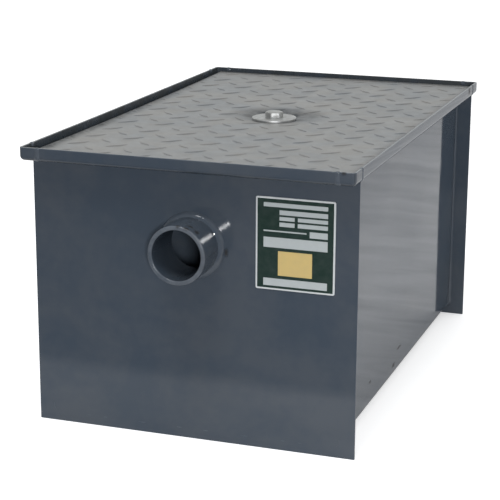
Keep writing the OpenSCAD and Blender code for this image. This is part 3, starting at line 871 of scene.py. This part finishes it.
def mix_colour(tree, factor, first, second, blend="MIX"):
    """Colour mix of two colours by a factor."""
    node = put(tree, "ShaderNodeMix", {0: factor, 6: first, 7: second}, data_type="RGBA", blend_type=blend)
    return node.outputs[2]


def maths(tree, operation, first, second=0.0, third=0.0):
    """One Math node's result."""
    return put(tree, "ShaderNodeMath", {0: first, 1: second, 2: third}, operation=operation).outputs[0]


def spread(tree, value, low, high, to_low=0.0, to_high=1.0):
    """A value taken from one range to another, and held at its ends."""
    values = {0: value, 1: low, 2: high, 3: to_low, 4: to_high}
    return put(tree, "ShaderNodeMapRange", values, clamp=True).outputs[0]


def own_place(tree):
    """A point's place in its piece, which is its place in the part."""
    return put(tree, "ShaderNodeTexCoord").outputs["Object"]


def own_value(tree, attribute):
    """A point's value of one of its piece's masks."""
    return put(tree, "ShaderNodeAttribute", attribute_name=attribute).outputs["Fac"]


def noise(tree, scale, detail=2.0, rough=0.5, distortion=0.0, place=None):
    """Noise at a scale in waves per metre, by the place in the piece unless another is given."""
    return put(tree, "ShaderNodeTexNoise", {
        "Vector": own_place(tree) if place is None else place, "Scale": scale, "Detail": detail,
        "Roughness": rough, "Distortion": distortion,
    }).outputs["Fac"]


def rgba(value):
    """A colour with full alpha."""
    return (*value, 1.0)


def new_group(name, build, values):
    """A shader group with an input for each value; build gives its outputs from its inputs."""
    tree = bpy.data.node_groups.new(name, "ShaderNodeTree")

    def add_socket(label, way, is_colour):
        kind = "NodeSocketColor" if is_colour else "NodeSocketFloat"
        return tree.interface.new_socket(name=label, in_out=way, socket_type=kind)

    for label, value in values.items():
        add_socket(label, "INPUT", isinstance(value, tuple)).default_value = value
    made = build(tree, tree.nodes.new("NodeGroupInput").outputs)
    for label, value in made.items():
        add_socket(label, "OUTPUT", value.type == "RGBA")
    put(tree, "NodeGroupOutput", made)
    return tree


def effect(tree, name, build, values):
    """Outputs of a shader group, placed with its own values and made at its first use."""
    group = bpy.data.node_groups.get(name) or new_group(name, build, values)
    return put(tree, "ShaderNodeGroup", values, node_tree=group).outputs


def paint_film(tree, given):
    """Sprayed paint: slow clouds of colour, uneven gloss, orange peel and the sheet's slow waves."""
    peel_height = 0.00001
    cloud, fine = noise(tree, given["Cloud scale"], 4.0, 0.6, 0.6), noise(tree, 70.0, 3.0, 0.6)
    drift = spread(tree, maths(tree, "MULTIPLY_ADD", fine, 0.35, cloud), 0.54, 0.80)
    wave = maths(tree, "MULTIPLY", noise(tree, 14.0, 1.0, 0.4), given["Wave height"])
    return {
        "Colour": mix_colour(tree, drift, given["Colour"], given["Cloud colour"]),
        "Roughness": spread(tree, fine, 0.3, 0.7, given["Gloss low"], given["Gloss high"]),
        "Height": maths(tree, "MULTIPLY_ADD", noise(tree, 420.0, 2.0, 0.5), peel_height, wave),
    }


def patches(tree, given, attribute):
    """Mask of rubbed edges with painted highlight, or of darkening that is partly painted shade: the piece's
    own attribute, broken up by noise.
    """
    patch = spread(tree, noise(tree, 55.0, 4.0, 0.65), 0.34, 0.66, 0.25, 1.0)
    own = maths(tree, "MULTIPLY", own_value(tree, attribute), patch)
    return {"Mask": maths(tree, "MULTIPLY", own, given["Amount"])}


def rub_and_sheen(tree, given):
    """Mask of rubbed edges and painted highlights."""
    return patches(tree, given, "worn")


def grime(tree, given):
    """Mask of darkening: painted shade round the lid's washer, and a darker tone in the rim's channel and at
    the lid's left front edge.
    """
    return patches(tree, given, "grime")


# Marks on the tank's paint: middle and half size in millimetres
MARKS = (
    ((155.0, -135.4, 38.6), (5.0, 7.0, 2.2)),
    ((155.0, -9.5, 37.9), (5.0, 14.0, 2.2)),
    ((155.0, -33.5, 24.0), (5.0, 11.0, 3.4)),
    ((2.0, -300.0, 236.0), (3.0, 3.0, 4.0)),
    ((10.8, -299.5, 234.1), (5.0, 3.0, 4.0)),
    ((11.5, -290.6, 234.1), (6.5, 2.6, 4.0)),
    ((19.0, -293.0, 229.6), (4.0, 5.0, 4.0)),
    ((36.7, -259.0, 202.2), (2.6, 4.0, 5.5)),
    ((162.9, -281.5, 297.0), (3.0, 3.0, 3.0)),
    ((174.5, 234.0, 294.0), (3.0, 7.0, 6.0)),
)


def marks(tree, given):
    """Mask of dark scuffs and spots at fixed places: the nearest mark's ellipsoid, frayed by noise."""
    nearest = 9.0
    for measures in MARKS:
        way = own_place(tree)
        for operation, measure in zip(("SUBTRACT", "DIVIDE"), measures):
            values = {0: way, 1: [0.001 * v for v in measure]}
            way = put(tree, "ShaderNodeVectorMath", values, operation=operation).outputs[0]
        far = put(tree, "ShaderNodeVectorMath", {0: way}, operation="LENGTH").outputs["Value"]
        nearest = maths(tree, "MINIMUM", far, nearest)
    frayed = maths(tree, "MULTIPLY_ADD", noise(tree, 500.0, 3.0, 0.6), 1.2, nearest)
    return {"Mask": maths(tree, "MULTIPLY", spread(tree, frayed, 0.9, 1.6, 1.0, 0.0), given["Amount"])}


def dust(tree, given):
    """Mask of dust that settles on faces that look up, in patches and specks."""
    normal = put(tree, "ShaderNodeNewGeometry").outputs["Normal"]
    upward = spread(tree, put(tree, "ShaderNodeSeparateXYZ", {0: normal}).outputs["Z"], 0.3, 0.95)
    patch = spread(tree, noise(tree, 26.0, 5.0, 0.65), 0.40, 0.70, 0.15, 1.0)
    speck = spread(tree, noise(tree, 900.0, 1.0), 0.60, 0.72)
    settled = maths(tree, "MULTIPLY", maths(tree, "MULTIPLY_ADD", speck, 0.6, patch), upward)
    return {"Mask": maths(tree, "MULTIPLY", settled, given["Amount"])}


def new_material(name):
    """An empty material, its nodes and its surface shader."""
    material = bpy.data.materials.new(name)
    material.use_nodes = True
    tree = material.node_tree
    return material, tree, tree.nodes["Principled BSDF"]


def lay(tree, shader, shade, rough, height=None, strength=1.0):
    """Gives a shader its colour and roughness, and a bump from a height in metres."""
    tree.links.new(shade, shader.inputs["Base Color"])
    tree.links.new(rough, shader.inputs["Roughness"])
    if height is not None:
        bump = put(tree, "ShaderNodeBump", {"Strength": strength, "Distance": 1.0, "Height": height})
        tree.links.new(bump.outputs["Normal"], shader.inputs["Normal"])


def painted_steel(name, colours, shades, cloud_scale, wave, dust_amount, gloss):
    """Paint on steel in two shades, with rubbed edges and painted highlights, darkening that is partly
    painted shade, dust and marks.
    """
    material, tree, shader = new_material(name)
    film = effect(tree, "Paint film", paint_film, {
        "Colour": rgba(shades[0]), "Cloud colour": rgba(shades[1]), "Cloud scale": cloud_scale,
        "Gloss low": gloss[0], "Gloss high": gloss[1], "Wave height": wave,
    })
    shade, rough = film["Colour"], maths(tree, "ADD", own_value(tree, "dull"), film["Roughness"])
    for label, build, amount, tone, added in (
        # Rubbed paint, with painted highlight on the rim's top and the stubs
        ("Edge wear and sheen", rub_and_sheen, 0.35, colours.worn, 0.0),
        # Painted shade round the lid's washer, and a darker tone in the rim's channel
        ("Darkening", grime, 1.3, colours.grime, 0.35),
        ("Dust", dust, dust_amount, colours.dust, 0.5),
        ("Marks", marks, 0.85, colours.mark, 0.5),
    ):
        mask = effect(tree, label, build, {"Amount": amount})["Mask"]
        shade = mix_colour(tree, mask, shade, rgba(tone))
        rough = maths(tree, "MULTIPLY_ADD", mask, added, rough)
    lay(tree, shader, shade, rough, film["Height"])
    shader.inputs["IOR"].default_value = 1.5
    return material


def tank_paint(name, colours):
    """Paint of the tank."""
    shades = (colours.paint, colours.paint_cloud)
    return painted_steel(name, colours, shades, 9.0, 0.0002, 0.03, (0.03, 0.08))


def lid_paint(name, colours):
    """Paint of the tread plate lid."""
    shades = (colours.lid, colours.lid_cloud)
    return painted_steel(name, colours, shades, 17.0, 0.00025, 0.05, (0.28, 0.38))


def bright_steel(name, colours):
    """Zinc on steel: dull patches and a fine grain."""
    material, tree, shader = new_material(name)
    patch, fine = noise(tree, 120.0, 4.0, 0.6), noise(tree, 1400.0, 2.0)
    shade = mix_colour(tree, spread(tree, patch, 0.38, 0.72), rgba(colours.steel), rgba(colours.steel_shade))
    rough = spread(tree, maths(tree, "MULTIPLY_ADD", fine, 0.3, patch), 0.4, 0.9, 0.42, 0.56)
    lay(tree, shader, shade, rough, maths(tree, "MULTIPLY", fine, 0.00001), 0.4)
    shader.inputs["Metallic"].default_value = 1.0
    return material


def gasket_rubber(name, colours):
    """Matt black rubber with a fine grain."""
    material, tree, shader = new_material(name)
    grain, pale = noise(tree, 700.0, 3.0), (0.05, 0.05, 0.05, 1.0)
    shade = mix_colour(tree, spread(tree, grain, 0.4, 0.75, 0.0, 0.5), rgba(colours.rubber), pale)
    rough = spread(tree, grain, 0.3, 0.7, 0.6, 0.8)
    lay(tree, shader, shade, rough, maths(tree, "MULTIPLY", grain, 0.00003))
    return material


def plate_face(name, colours):
    """Printed metal plate: the piece brings its colours, with bare metal where the border is."""
    material, tree, shader = new_material(name)
    printed = put(tree, "ShaderNodeAttribute", attribute_name="print").outputs
    most = 0.08
    smudge = spread(tree, noise(tree, 140.0, 4.0, 0.6), 0.35, 0.7, 0.0, most)
    shade = mix_colour(tree, smudge, printed["Color"], (0.16, 0.18, 0.18, 1.0))
    lay(tree, shader, shade, spread(tree, smudge, 0.0, most, 0.28, 0.45))
    tree.links.new(printed["Alpha"], shader.inputs["Metallic"])
    shader.inputs["Specular IOR Level"].default_value = 0.25
    return material


# Finish of each slot: the material's name and what makes it
FINISHES = {
    "tank_paint": ("Tank paint", tank_paint),
    "lid_paint": ("Lid paint", lid_paint),
    "bright_steel": ("Bright steel", bright_steel),
    "gasket_rubber": ("Gasket rubber", gasket_rubber),
    "plate_face": ("Data plate face", plate_face),
}


def finish(slot):
    """The material of a slot, made from the scene's colours at its first use."""
    name, make = FINISHES[slot]
    return bpy.data.materials.get(name) or make(name, bpy.context.scene.trap_colours)


# Operators


class TRAP_OT_frame_finishes(bpy.types.Operator):
    """Gives every CAD node that stays its finish"""

    bl_idname = "trap.frame_finishes"
    bl_label = "Finish the frame"

    def execute(self, context):
        for slot, names in (
            ("tank_paint", (
                "crossbar", "crossbar_bracket_left", "crossbar_bracket_right",
                "inlet_baffle", "outlet_baffle", "inlet_guide_left", "inlet_guide_right",
                "outlet_guide_left", "outlet_guide_right", "outlet_skirt",
            )),
            ("bright_steel", ("crossbar_nut",)),
            ("gasket_rubber", ("lid_gasket",)),
        ):
            for name in names:
                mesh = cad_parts[name].data
                mesh.materials.clear()
                mesh.materials.append(finish(slot))
        return {"FINISHED"}


class TRAP_OT_tank(bpy.types.Operator):
    """Makes the tank's sheets, the rim's pressed corners, the pipe stubs and the welds"""

    bl_idname = "trap.tank"
    bl_label = "Tank"

    def execute(self, context):
        sizes = context.scene.trap_sizes
        body, plate, corner, stub = (
            make(sizes) for make in (tank_body_shell, end_plate_shell, rim_corner_shell, stub_shell))
        # Rubbed paint and a painted highlight on the rim's top; a darker tone on the rim's channel faces
        rim = {"bevel": sizes.edge_r, "worn": worn_on_rim, "grime": grime_in_rim}
        # Rubbed paint and a painted highlight on the stubs' mouths, and a painted highlight on the pipes'
        # tops
        pipe = {"worn": worn_on_stub, "dull": dull_on_stub}
        for name, ending, (points, faces), side, looks in (
            ("tank_body", "_sheet", body, AS_MADE, rim),
            ("inlet_end_plate", "_sheet", plate, AS_MADE, rim),
            ("outlet_end_plate", "_sheet", plate, MIRROR_Y, rim),
            ("rim_corner_inlet_right", "_pressing", corner, AS_MADE, rim),
            ("rim_corner_inlet_left", "_pressing", corner, MIRROR_X, rim),
            ("rim_corner_outlet_right", "_pressing", corner, MIRROR_Y, rim),
            ("rim_corner_outlet_left", "_pressing", corner, MIRROR_X * MIRROR_Y, rim),
            ("inlet_stub", "_pipe", stub, AS_MADE, pipe),
            ("outlet_stub", "_pipe", stub, MIRROR_Y, pipe),
        ):
            points = points * side if "plate" in name else bent_corner(points * side)
            make_piece(name + ending, (points, faces), "tank", "tank_paint", (name,), **looks)
        make_piece(
            "seam_welds", seam_shells(sizes), "tank", "tank_paint",
            sharp=80.0, worn=worn_on_seams, dull=dull_on_seams,
        )
        return {"FINISHED"}


class TRAP_OT_cover(bpy.types.Operator):
    """Makes the tread plate lid, and the washer and bolt that hold it down"""

    bl_idname = "trap.cover"
    bl_label = "Lid, washer and bolt"

    def execute(self, context):
        sizes = context.scene.trap_sizes
        lid = join_shells([lid_plate_shell(sizes), lug_shell(sizes)])
        # Painted shade round the washer, and a darker tone along the lid's left front edge
        make_piece("tread_lid", lid, "lid", "lid_paint", ("lid",), sharp=50.0, grime=grime_on_lid)
        make_piece("hold_down_washer", washer_shell(sizes), "lid", "bright_steel", ("lid_washer",))
        make_piece("hold_down_bolt", bolt_shell(sizes), "bolt", "bright_steel", ("lid_bolt",))
        return {"FINISHED"}


class TRAP_OT_data_plate(bpy.types.Operator):
    """Makes the data plate with its blank fields"""

    bl_idname = "trap.data_plate"
    bl_label = "Data plate"

    def execute(self, context):
        sizes, colours = context.scene.trap_sizes, context.scene.trap_colours
        mesh = make_piece("data_plate_face", label_shell(sizes), "tank", "plate_face", ("data_plate",)).data
        middle = np.zeros(len(mesh.polygons) * 3, np.float32)
        corners = np.zeros(len(mesh.polygons), np.int32)
        mesh.polygons.foreach_get("center", middle)
        mesh.polygons.foreach_get("loop_total", corners)
        middle = middle.reshape(-1, 3)
        across = (middle[:, 0] - LABEL_LOW.x) / (LABEL_HIGH.x - LABEL_LOW.x)
        up = (middle[:, 2] - LABEL_LOW.z) / (LABEL_HIGH.z - LABEL_LOW.z)
        face_colour = np.empty((len(middle), 4), np.float32)
        face_colour[:] = (*colours.label_metal, 0.15)
        for left, low, right, high, name in LABEL_FIELDS:
            inside = (across > left) & (across < right) & (up > low) & (up < high)
            face_colour[inside] = (*getattr(colours, name), 0.0)
        layer = mesh.color_attributes.new("print", "FLOAT_COLOR", "CORNER")
        layer.data.foreach_set("color", np.repeat(face_colour, corners, 0).ravel())
        return {"FINISHED"}


class TRAP_OT_stage(bpy.types.Operator):
    """Sets the floor, the light and the camera"""

    bl_idname = "trap.stage"
    bl_label = "Stage"

    def execute(self, context):
        scene, stage = context.scene, context.scene.trap_stage
        scene.view_settings.view_transform = "Standard"
        self.add_floor(scene, stage)
        self.add_world(scene, stage)
        self.add_lights(scene, stage)
        self.add_camera(scene, stage)
        return {"FINISHED"}

    def add_floor(self, scene, stage):
        """A wide pale floor under the part."""
        half = 9.0
        mesh = bpy.data.meshes.new("floor")
        corners = [(-half, -half, 0), (half, -half, 0), (half, half, 0), (-half, half, 0)]
        mesh.from_pydata(corners, [], [(0, 1, 2, 3)])
        floor = bpy.data.objects.new("floor", mesh)
        scene.collection.objects.link(floor)
        material, tree, shader = new_material("Pale floor")
        place = own_place(tree)
        axes = put(tree, "ShaderNodeSeparateXYZ", {0: place}).outputs
        near = spread(tree, axes["Y"], stage.floor_front - 0.02, stage.floor_front + 0.02)
        path = put(tree, "ShaderNodeLightPath").outputs
        pale = maths(tree, "MAXIMUM", path["Is Camera Ray"], near)
        shade = mix_colour(tree, pale, rgba(stage.far_floor), rgba(stage.floor))
        stretched = put(tree, "ShaderNodeMapping", {"Vector": place, "Scale": (0.3, 1.0, 1.0)}).outputs[0]
        drift = noise(tree, 13.0, 4.0, 0.55, 0.8, stretched)
        cloud = spread(tree, drift, 0.32, 0.68, 0.0, stage.floor_cloud)
        cloud = maths(tree, "ADD", cloud, spread(tree, axes["X"], 0.6, 1.8, 0.06, 0.32))
        cloud = maths(tree, "MULTIPLY", cloud, path["Is Glossy Ray"])
        shade = mix_colour(tree, cloud, shade, rgba([0.2] * 3))
        lift = maths(tree, "MULTIPLY", path["Is Camera Ray"], stage.floor_lift)
        tree.links.new(shade, shader.inputs["Base Color"])
        tree.links.new(lift, shader.inputs["Emission Strength"])
        shader.inputs["Emission Color"].default_value = (1.0, 1.0, 1.0, 1.0)
        shader.inputs["Roughness"].default_value = 0.9
        shader.inputs["Specular IOR Level"].default_value = 0.0
        mesh.materials.append(material)

    def add_world(self, scene, stage):
        """A surround that is white behind the part and to camera rays, and dimmer behind the camera."""
        world = bpy.data.worlds.new("Studio")
        scene.world = world
        world.use_nodes = True
        tree = world.node_tree
        tree.nodes.clear()
        way = put(tree, "ShaderNodeTexCoord").outputs["Generated"]
        axes = put(tree, "ShaderNodeSeparateXYZ", {0: way}).outputs
        light = mix_colour(tree, spread(tree, axes["Y"], -0.6, 0.1), rgba(stage.room), rgba(stage.backdrop))
        tint = spread(tree, noise(tree, 8.0, place=way), 0.35, 0.65)
        haze = mix_colour(tree, tint, rgba(stage.warm), rgba(stage.cool))
        for low, high, at_low, at_high in ((0.13, 0.25, 0.3, 0.0), (0.30, 0.60, 0.0, 0.45)):
            dim = spread(tree, axes["Z"], low, high, at_low, at_high)
            haze = mix_colour(tree, dim, haze, rgba([0.3] * 3))
        path = put(tree, "ShaderNodeLightPath").outputs
        hazy = mix_colour(tree, 1.0, light, haze, "MULTIPLY")
        mirrored = mix_colour(tree, path["Is Glossy Ray"], light, hazy)
        shade = mix_colour(tree, path["Is Camera Ray"], mirrored, rgba(stage.backdrop))
        back = put(tree, "ShaderNodeBackground", {"Color": shade, "Strength": 1.0})
        end = tree.nodes.new("ShaderNodeOutputWorld")
        tree.links.new(back.outputs[0], end.inputs["Surface"])

    def add_lights(self, scene, stage):
        """A soft light above and a small light beside the camera, both turned to the part."""
        target = Vector((0.0, 0.0, 0.15))
        for name, power, size, place in (
            ("key", stage.key_power, 0.7, (-0.07, -0.98, 2.2)),
            ("fill", stage.fill_power, 0.20, (0.82, -2.1, 0.62)),
        ):
            lamp = bpy.data.lights.new(name, "AREA")
            lamp.energy = power
            lamp.size = size
            light = bpy.data.objects.new(name, lamp)
            light.location = place
            light.rotation_euler = (target - light.location).to_track_quat("-Z", "Y").to_euler()
            light.visible_camera = False
            scene.collection.objects.link(light)

    def add_camera(self, scene, stage):
        """Camera on its azimuth, elevation and roll, at its distance from the aim."""
        turn, lift = stage.azimuth, stage.elevation
        right = Vector((math.cos(turn), math.sin(turn), 0.0))
        ahead = Vector((-math.sin(turn) * math.cos(lift), math.cos(turn) * math.cos(lift), -math.sin(lift)))
        up = right.cross(ahead)
        rolled_right = right * math.cos(stage.roll) + up * math.sin(stage.roll)
        rolled_up = up * math.cos(stage.roll) - right * math.sin(stage.roll)
        place = Vector(stage.aim) - ahead * stage.distance
        lens = bpy.data.cameras.new("camera")
        lens.sensor_width = 36.0
        lens.lens = stage.lens
        lens.clip_end = 60.0
        camera = bpy.data.objects.new("camera", lens)
        axes = Matrix((rolled_right, rolled_up, -ahead)).transposed().to_4x4()
        camera.matrix_world = Matrix.Translation(place) @ axes
        scene.collection.objects.link(camera)
        scene.camera = camera


OPERATORS = (TRAP_OT_frame_finishes, TRAP_OT_tank, TRAP_OT_cover, TRAP_OT_data_plate, TRAP_OT_stage)


class TRAP_PT_sidebar(bpy.types.Panel):
    """Lists the pieces and their sizes and colours"""

    bl_idname = "TRAP_PT_sidebar"
    bl_label = "Grease trap"
    bl_space_type = "VIEW_3D"
    bl_region_type = "UI"
    bl_category = "Grease trap"

    def draw(self, context):
        for operator in OPERATORS:
            self.layout.operator(operator.bl_idname)
        for group in (context.scene.trap_sizes, context.scene.trap_colours, context.scene.trap_stage):
            box = self.layout.box()
            for name in group.__annotations__:
                box.prop(group, name)


CLASSES = (TrapSizes, TrapColours, TrapStage, *OPERATORS, TRAP_PT_sidebar)


def register():
    """Registers the classes and hangs their values on the scene."""
    for item in CLASSES:
        bpy.utils.register_class(item)
    bpy.types.Scene.trap_sizes = PointerProperty(type=TrapSizes)
    bpy.types.Scene.trap_colours = PointerProperty(type=TrapColours)
    bpy.types.Scene.trap_stage = PointerProperty(type=TrapStage)


def unregister():
    """Takes away what register added."""
    del bpy.types.Scene.trap_stage
    del bpy.types.Scene.trap_colours
    del bpy.types.Scene.trap_sizes
    for item in reversed(CLASSES):
        bpy.utils.unregister_class(item)


def main():
    """Makes every piece and the stage."""
    register()
    bpy.ops.trap.frame_finishes()
    bpy.ops.trap.tank()
    bpy.ops.trap.cover()
    bpy.ops.trap.data_plate()
    bpy.ops.trap.stage()


if __name__ == "__main__":
    main()
